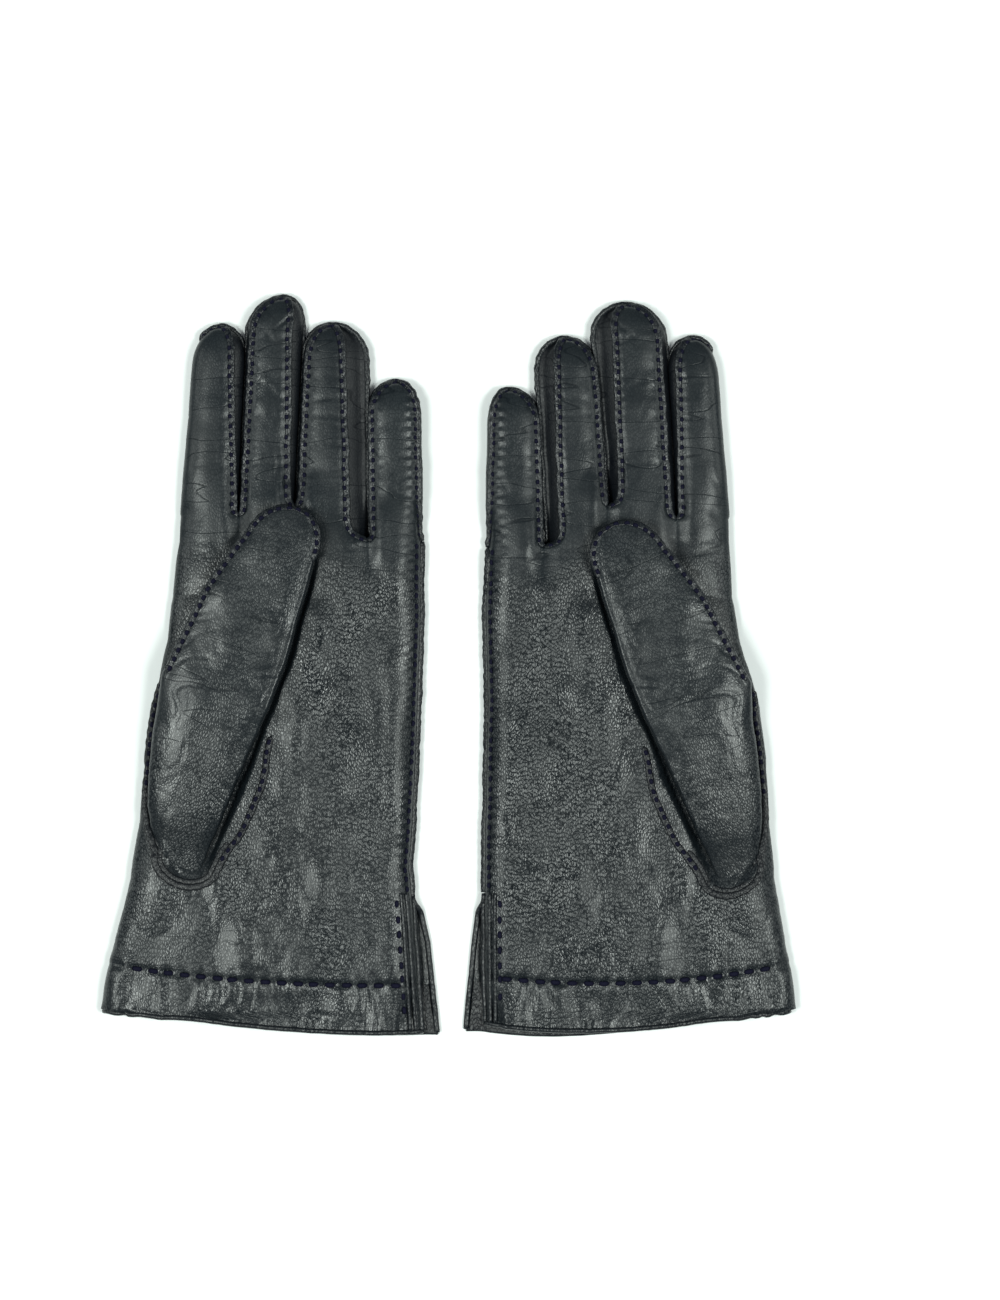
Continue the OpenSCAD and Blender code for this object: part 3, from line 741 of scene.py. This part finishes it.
def connect(tree, value, socket):
    """Links a socket to another node's output, or gives it a fixed value."""
    if isinstance(value, bpy.types.NodeSocket):
        tree.links.new(value, socket)
    else:
        socket.default_value = value


def node(tree, kind, **values):
    """A new node. Each value goes to the input of that name, or else to the node's own setting."""
    n = tree.nodes.new(kind)
    for key, value in values.items():
        if key in n.inputs:
            connect(tree, value, n.inputs[key])
        else:
            setattr(n, key, value)
    return n


def ramp(tree, source, low, high, out_low=0.0, out_high=1.0, smooth=False):
    inputs = {"Value": source, "From Min": low, "From Max": high, "To Min": out_low, "To Max": out_high}
    kind = "SMOOTHSTEP" if smooth else "LINEAR"
    return node(tree, "ShaderNodeMapRange", interpolation_type=kind, **inputs).outputs["Result"]


def math_node(tree, operation, a, b):
    n = node(tree, "ShaderNodeMath", operation=operation)
    for socket, value in zip(n.inputs, (a, b)):
        connect(tree, value, socket)
    return n.outputs["Value"]


def stretched(tree, scale):
    """The leather's own coordinates, in mm, scaled along each axis."""
    place = node(tree, "ShaderNodeAttribute", attribute_name="rest_mm").outputs["Vector"]
    return node(tree, "ShaderNodeMapping", Vector=place, Scale=scale).outputs["Vector"]


def noise_node(tree, vector, detail=2.0, rough=0.5, distortion=0.0):
    return node(tree, "ShaderNodeTexNoise", Vector=vector, Scale=1.0, Detail=detail, Roughness=rough,
                Distortion=distortion).outputs["Fac"]


def set_relief(tree, shader, height, strength, distance):
    bump = node(tree, "ShaderNodeBump", Height=height, Strength=strength, Distance=distance)
    tree.links.new(bump.outputs["Normal"], shader.inputs["Normal"])


def set_colour(tree, shader, dark, light, factor):
    tone = node(tree, "ShaderNodeMix", data_type="RGBA", A=(*dark, 1), B=(*light, 1), Factor=factor)
    tree.links.new(tone.outputs["Result"], shader.inputs["Base Color"])


def leather(name, dark, light, roughness, grain, crease):
    """Fine-grained kid: pebbles drawn out lengthwise, hairline creases, patchy polish and worn high spots,
    with painted shade that darkens the grain's valleys and the creases.
    """
    material, tree = new_material(name)
    tree.nodes.clear()
    times = lambda a, b: math_node(tree, "MULTIPLY", a, b)
    less = lambda a, b: math_node(tree, "SUBTRACT", a, b)
    out = node(tree, "ShaderNodeOutputMaterial")
    shader = node(tree, "ShaderNodeBsdfPrincipled", Roughness=roughness)
    tree.links.new(shader.outputs["BSDF"], out.inputs["Surface"])
    creased = node(tree, "ShaderNodeAttribute", attribute_name="creased").outputs["Fac"]
    patches = noise_node(tree, stretched(tree, (0.060, 0.032, 0.055)), 2.5)
    # pebble grain, finest where the leather is stretched over the fingers
    flow = stretched(tree, (1.30, 0.76, 1.30))
    wobble = node(tree, "ShaderNodeTexNoise", Vector=flow, Scale=0.8, Detail=1.0).outputs["Color"]
    warped = node(tree, "ShaderNodeVectorMath", operation="MULTIPLY_ADD")
    for socket, value in zip(warped.inputs, (wobble, (0.30, 0.30, 0.30), flow)):
        connect(tree, value, socket)
    cells = node(tree, "ShaderNodeTexVoronoi", feature="DISTANCE_TO_EDGE", Scale=1.0,
                 Vector=warped.outputs["Vector"]).outputs["Distance"]
    pebble = ramp(tree, cells, 0.0, 0.40, smooth=True)
    valley = ramp(tree, cells, 0.02, 0.16)
    strength = times(ramp(tree, patches, 0.36, 0.64, 0.66, 1.0, smooth=True),
                     ramp(tree, creased, 0.5, 1.0, 1.0, 0.40))
    # long creases across the glove and a few down it, each a thin line with nothing between
    across = noise_node(tree, stretched(tree, (0.020, 0.125, 0.05)), 1.4, 0.45, 0.2)
    along = noise_node(tree, stretched(tree, (0.085, 0.050, 0.08)), distortion=0.4)
    lines = []
    for field, width, faint in ((across, 0.011, 0.45), (along, 0.007, 0.75)):
        offset = math_node(tree, "ABSOLUTE", less(field, 0.5), 0.0)
        line = ramp(tree, offset, 0.0, width, faint, 1.0, smooth=True)
        lines.append(less(1.0, times(less(1.0, line), creased)))
    height = times(pebble, times(strength, grain))
    for line, depth in zip(lines, (crease, 0.5 * crease)):
        height = math_node(tree, "ADD", height, times(line, depth))
    set_relief(tree, shader, height, 0.9, 0.001)
    # colour and polish: painted shade, dull and dark in the grain's valleys and the creases
    painted_light = times(times(lines[0], lines[1]), less(1.0, times(less(1.0, valley), strength)))
    worn = times(ramp(tree, patches, 0.3, 0.75, 0.5, 1.0), ramp(tree, creased, 0.5, 1.0, 0.72, 1.0))
    set_colour(tree, shader, dark, light, times(painted_light, worn))
    # the specular level is lowered in the valleys and creases too: painted shade
    shine = times(ramp(tree, painted_light, 0.0, 1.0, 0.06, 0.54), ramp(tree, creased, 0.6, 1.0, 1.0, 0.61))
    shader.inputs["Specular IOR Level"].default_value = 0.42
    tree.links.new(shine, shader.inputs["Specular IOR Level"])
    polish = noise_node(tree, stretched(tree, (0.10, 0.06, 0.10)))
    polished = ramp(tree, polish, 0.3, 0.7, roughness - 0.06, roughness + 0.08)
    tree.links.new(polished, shader.inputs["Roughness"])
    return material


def thread_material():
    """Waxed navy thread with a fine twist."""
    material, tree = new_material("navy_thread")
    shader = tree.nodes["Principled BSDF"]
    shader.inputs["Roughness"].default_value = 0.75
    shader.inputs["Specular IOR Level"].default_value = 0.12
    twist = noise_node(tree, stretched(tree, (5.0, 3.0, 5.0)))
    set_colour(tree, shader, (0.002, 0.002, 0.008), (0.006, 0.006, 0.022), twist)
    set_relief(tree, shader, twist, 0.5, 0.0003)
    return material


SKIN_MAT = leather("kid_leather", (0.0040, 0.0060, 0.0080), (0.0124, 0.0166, 0.0197), 0.32, 0.052, 0.07)
# the same leather made darker: painted shade for the forks between the fingers, the hem's lining inside the
# cuff and the thumb hole's sewn edge
SHADE_LEATHER_MAT = leather("painted_shade_leather", (0.0025, 0.0035, 0.0055), (0.0060, 0.0075, 0.0100), 0.44, 0.07, 0.07)
EDGE_MAT = leather("edge_leather", (0.0040, 0.0055, 0.0080), (0.0095, 0.0125, 0.0150), 0.38, 0.05, 0.04)
THREAD_MAT = thread_material()


# ---- pieces ----

def bend_with_finger(obj):
    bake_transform(obj)


def bend_with_thumb(g, obj):
    ends = [g.off_thumb(0, v) for v in (-THUMB_REACH, THUMB_REACH)]
    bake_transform(obj)


def spaced(skin, numbers):
    """The vertex numbers of a path, without those that lie almost on the one before."""
    return numbers[np.concatenate([[True], steps(skin.points[numbers]) > 0.05])]


def seam_path(skin, normals, grid, both):
    """Up one edge of a finger's face, round its tip and down the other, or 7 mm down it."""
    down = grid[:, -1] if both else grid[-int(7 / STEP):, -1]
    numbers = spaced(skin, np.concatenate([grid[:, 0], grid[-1, :], down[::-1]]))
    return skin.points[numbers], normals[numbers]


def settle(g, obj, slot, *parts, ride=True):
    """Hides the CAD nodes that a piece stands for, and lets it ride on the hand. The slot is not used."""
    if parts:
        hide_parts(*[f"{g.name}_{part}" for part in parts])
    if ride:
        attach(obj, g.name + "_hand")
    return obj


def finger_pieces(g, skin, normals, paths, f):
    face = settle(g, carve(g, skin, normals, [f], f + "_skin", SKIN_MAT), "glove_leather",
                  f + "_front", f + "_back", ride=False)
    # the forks take the darker leather, painted shade between the fingers
    forks = settle(g, carve(g, skin, normals, [f + "_fork"], f + "_forks", SHADE_LEATHER_MAT), "binding_leather",
                   f + "_" + FORKS[f], ride=False)
    lips, rows = [], []
    for grid, sense in ((paths["front"][f], 1.0), (paths["back"][f], -1.0)):
        path, ups = seam_path(skin, normals, grid, both=f != "index")
        ups = unit(ups * [0.35, 0.35, 1.0] if sense > 0 else ups * [0.35, 0.35, 0.0] - [0, 0, 1])
        seed = FINGERS.index(f) + (3 if sense < 0 else 0)
        lips.append(lip(path, ups, seed, outwards=-sense, end=0.9 if f == "little" else 0.15))
        inset, lift = (0.45, 0.34) if sense > 0 else (0.9, 0.2)
        inner = path + inset * unit(np.cross(np.gradient(path, axis=0), ups)) * sense
        rows.append(stitches(inner, ups, SEAM_PITCH, 1.9, THREAD_R, lift, seed))
    ridge = settle(g, make_object(g, f + "_seam_edges", *joined(lips), EDGE_MAT), "glove_leather", ride=False)
    thread = settle(g, make_object(g, f + "_stitches", *joined(rows), THREAD_MAT), "thread",
                    f + "_thread", ride=False)
    for obj in (face, forks, ridge, thread):
        bend_with_finger(obj)


def rolled_edge(path, across, tall, step):
    """A round-edged strip that lies along a path."""
    path = resample(path, path * 0 + UP, step)[0]
    return sweep(path, path * 0 + UP, np.repeat(oval(across, tall)[None], len(path), 0))


def on_palm(g, line, lift):
    """A line (x, y) laid on the palm, and its up vectors."""
    x, y = line[:, 0], line[:, 1]
    path = together(x, y, palm_height(g, x, y) + lift)
    return path, path * 0 + UP


def hand_pieces(g, skin, normals, paths):
    settle(g, carve(g, skin, normals, ["hand"], "hand_skin", SKIN_MAT), "glove_leather",
           "palm_panel", "back_panel")
    top, under, p = paths["top"], paths["under"], skin.points
    open_rows = np.flatnonzero(top[:, 0] != under[:, 0])
    last = open_rows[-1] + 1
    # bindings follow the skin's own free edges
    hem_front, hem_back = p[top[0, :]], p[under[0, :]]
    vent = np.vstack([p[top[:last + 1, 0]], p[under[:last, 0]][::-1]])
    ring = [rolled_edge(path, 0.85, 0.8, 1.0) for path in (hem_front, hem_back)]
    settle(g, make_object(g, "cuff_edge", *joined(ring), EDGE_MAT), "binding_leather", "cuff_binding")
    bands = [rolled_edge(vent, 0.95, 0.85, 0.8)]
    for inwards in VENT_FOLDS:
        y = np.linspace(p[top[0, 0], 1] + 0.5, g.vent_top + 2, 40)
        fold = on_palm(g, together(g.vent_edge(y) + inwards, y), 0.1)[0]
        bands.append(rolled_edge(fold, VENT_FOLD_R, VENT_FOLD_R, 0.8))
    settle(g, make_object(g, "vent_edge", *joined(bands), EDGE_MAT), "binding_leather", "vent_binding")
    facing_piece(g, skin, normals, paths)
    # side seam: standing edge and thread
    seam = p[top[last:, 0]][::-1]
    ups = np.repeat(unit(np.array([[-0.45, 0.0, 1.0]])), len(seam), 0)
    settle(g, make_object(g, "side_seam_edge", *lip(seam, ups, 9, end=0.9), EDGE_MAT), "glove_leather")
    rows = [surface_stitches(g, seam_line(g, 1.5, True), SEAM_PITCH, 2.0, THREAD_R * 1.05, 71),
            surface_stitches(g, seam_line(g, 5.2, False), VENT_PITCH, 2.6, THREAD_R * 1.15, 72)]
    settle(g, make_object(g, "side_seam_stitches", *joined(rows), THREAD_MAT), "thread", "side_seam_thread")
    x = np.linspace(g.vent_edge(-103.0) + 4.5, g.thumb_edge(-100.0) - 3.0, 60)
    hem_line = together(x, g.hem(x) + HEM_STITCH_UP)
    rows = [surface_stitches(g, hem_line, HEM_PITCH, HEM_STITCH_L, HEM_THREAD_R, 73),
            surface_stitches(g, hem_line, HEM_PITCH, HEM_STITCH_L, HEM_THREAD_R, 74, under=True)]
    settle(g, make_object(g, "hem_stitches", *joined(rows), THREAD_MAT), "thread", "hem_thread")


def seam_line(g, inset, upper):
    """A line beside the side seam, or with upper False beside the vent: its points (x, y)."""
    if upper:
        low, high = g.vent_top + 1, g.crotch(0)[1]
    else:
        low, high = g.hem(g.vent_edge(-118.0)) + 3, g.vent_top + 1
    y = np.linspace(high, low, 60)
    return together(g.vent_edge(y) + inset, y)


def surface_stitches(g, line, pitch, length, radius, seed, under=False):
    """Stitches along a line drawn on the palm, or on the back under it."""
    height = lambda q: (back_height if under else palm_height)(g, q[:, 0], q[:, 1])
    h = height(line)
    dx = (height(line + [0.4, 0]) - h) / 0.4
    dy = (height(line + [0, 0.4]) - h) / 0.4
    ups = unit(together(-dx, -dy, np.ones_like(h))) * (-1 if under else 1)
    return stitches(np.column_stack([line, h]), ups, pitch, length, radius, radius * 0.55, seed)


def facing_piece(g, skin, normals, paths):
    """The hem's leather turned up inside the cuff, front and back."""
    rows = int(17 / STEP)
    parts = []
    for grid, sense in ((paths["top"], -1), (paths["under"], 1)):
        part = grid[:rows, 2:-2]
        points = skin.points[part] + sense * 0.9 * np.abs(normals[part]) * [0, 0, 1]
        s = Skin()
        s.quads(s.add(points), "f", flip=sense < 0)
        s.close()
        parts.append((s.points, s.faces))
    # lined with the darker leather, painted shade inside the cuff
    settle(g, make_object(g, "hem_lining", *joined(parts), SHADE_LEATHER_MAT), "binding_leather", "hem_facing")


def thumb_pieces(g):
    skin, grid = build_thumb(g)
    normals = skin.normals()
    stall = settle(g, carve(g, skin, normals, ["thumb"], "thumb_skin", SKIN_MAT), "glove_leather",
                   "thumb_front", "thumb_back", "thumb_base", ride=False)
    # the seam runs up the outer edge, round the tip and a little way down the folded edge
    v = g.on_thumb(skin.points[grid[:, 0]])[:, 1]
    outer, inner = int(THUMB_ROUND * 28 / 360), int(THUMB_ROUND * 152 / 360)
    up_rows = np.flatnonzero(v > 1)
    down_rows = np.flatnonzero(v > g.thumb_tip - 16)[::-1]
    numbers = spaced(skin, np.concatenate([grid[up_rows, outer], grid[-1, outer:inner],
                                           grid[down_rows, inner]]))
    path, ups = skin.points[numbers], unit(normals[numbers] * [0.5, 0.5, 1])
    ridge = settle(g, make_object(g, "thumb_seam_edge", *lip(path, ups, 7, wave=0.1), EDGE_MAT),
                   "glove_leather", ride=False)
    inside = path - 0.35 * unit(np.cross(np.gradient(path, axis=0), ups))
    row = stitches(inside, ups, SEAM_PITCH, 2.2, THREAD_R * 1.15, 0.5, 8)
    thread = settle(g, make_object(g, "thumb_stitches", *row, THREAD_MAT), "thread",
                    "thumb_thread", ride=False)
    for obj in (stall, ridge, thread):
        bend_with_thumb(g, obj)
    # the sewn edge of the palm's thumb hole, doubled where it rolls round the thumb's foot
    down, foot, up = hole_line(g)
    bands, rows = [], []
    for part, inwards in ((np.vstack([down, foot, up]), 0.0), (np.vstack([down[-12:], foot, up[:6]]), 1.5)):
        path, ups = on_palm(g, part, 0.25)
        path = path + inwards * unit(np.cross(np.gradient(path, axis=0), ups)) - [0, 0, 0.4 * inwards]
        bands.append(lip(path, ups, 13 + inwards, outwards=-1.0, wave=0.1))
    for part in (down[:-12], up):
        path, ups = on_palm(g, part, 0.35)
        rows.append(stitches(path, ups, SEAM_PITCH, 2.2, THREAD_R * 1.1, 0.36, 14))
    # in the darker leather, painted shade along the thumb hole
    settle(g, make_object(g, "thumb_hole_edge", *joined(bands), SHADE_LEATHER_MAT), "glove_leather")
    settle(g, make_object(g, "thumb_hole_stitches", *joined(rows), THREAD_MAT), "thread", "thumb_base_thread")


def hole_line(g):
    """The sewn edge of the thumb hole: down beside the thumb's seam, round its foot and up the gusset."""
    v = np.linspace(-2, g.thumb_end + 6, 40)
    down = together(g.thumb_seam(v) + 0.9, v)
    a = np.radians(np.linspace(20, 160, 14))
    outer, inner = g.thumb_seam(g.thumb_end + 6) + 0.9, g.thumb_fold(g.thumb_end + 8) - 5.0
    foot = together((outer + inner) / 2 + (outer - inner) / 2 * np.cos(a),
                    g.thumb_end + 6 - 8.5 * np.sin(a))
    v = np.linspace(g.thumb_end + 8, -8, 30)
    reach = mix(5.0, 7.6, ease((v - g.thumb_end - 8) / 14)) * (1 - 0.45 * ease((v + 26) / 18))
    up = together(g.thumb_fold(v) - reach, v)
    parts = []
    for uv in (down, foot, up):
        x, y = g.off_thumb(uv[:, 0], uv[:, 1])
        parts.append(together(np.minimum(x, g.thumb_edge(y) - 1.2), y))
    return parts


# ---- camera, floor and light ----

FRAME_H = 426.4      # height of the view at the surface, in mm
VIEW_X, VIEW_Y = 16.4, 5.4
CAMERA_UP = 1500.0
# name, place in m, side in m and power in W of each soft light
LIGHTS = [("left", (-0.56, -0.14, 1.20), 0.38, 10.5), ("right", (0.58, -0.14, 1.20), 0.38, 10.2),
          ("low_left", (-1.0, 0.25, 0.70), 0.5, 2.5), ("low_right", (1.05, 0.25, 0.70), 0.5, 2.5)]
LIGHT_TINT = (0.93, 1.0, 0.95)


def set_stage():
    camera = bpy.data.objects.new("camera", bpy.data.cameras.new("camera"))
    bpy.context.scene.collection.objects.link(camera)
    camera.location = (VIEW_X * MM, VIEW_Y * MM, CAMERA_UP * MM)
    camera.data.lens = camera.data.sensor_width * CAMERA_UP / FRAME_H
    camera.data.clip_end = 20
    bpy.context.scene.camera = camera
    bpy.context.scene.view_settings.view_transform = "Standard"
    bpy.ops.mesh.primitive_plane_add(size=8, location=(0, 0, -0.0001))
    floor = bpy.context.object
    floor.name = "floor"
    white, tree = new_material("floor_white")
    shader = tree.nodes["Principled BSDF"]
    shader.inputs["Base Color"].default_value = (0.93, 0.95, 0.95, 1)
    shader.inputs["Roughness"].default_value = 0.9
    shader.inputs["Specular IOR Level"].default_value = 0.1
    floor.data.materials.append(white)
    world = bpy.data.worlds.new("studio")
    world.use_nodes = True
    world.node_tree.nodes["Background"].inputs["Color"].default_value = (0.90, 0.97, 1.0, 1)
    world.node_tree.nodes["Background"].inputs["Strength"].default_value = 0.22
    bpy.context.scene.world = world
    for name, place, size, energy in LIGHTS:
        light = bpy.data.objects.new(name, bpy.data.lights.new(name, "AREA"))
        light.data.size, light.data.energy, light.data.color = size, energy, LIGHT_TINT
        light.location = place
        light.rotation_euler = light.location.to_track_quat("Z", "Y").to_euler()
        bpy.context.scene.collection.objects.link(light)


def make_glove(name, side):
    g = Glove(name, side)
    skin, paths = build_skin(g)
    normals = skin.normals()
    detail = hand_detail(g, skin.points) + finger_seam_detail(skin, paths)
    skin.points = skin.points + normals * detail[:, None]
    normals = skin.normals()
    hand_pieces(g, skin, normals, paths)
    for f in FINGERS:
        finger_pieces(g, skin, normals, paths, f)
    thumb_pieces(g)


set_stage()
make_glove("left", -1)
make_glove("right", 1)
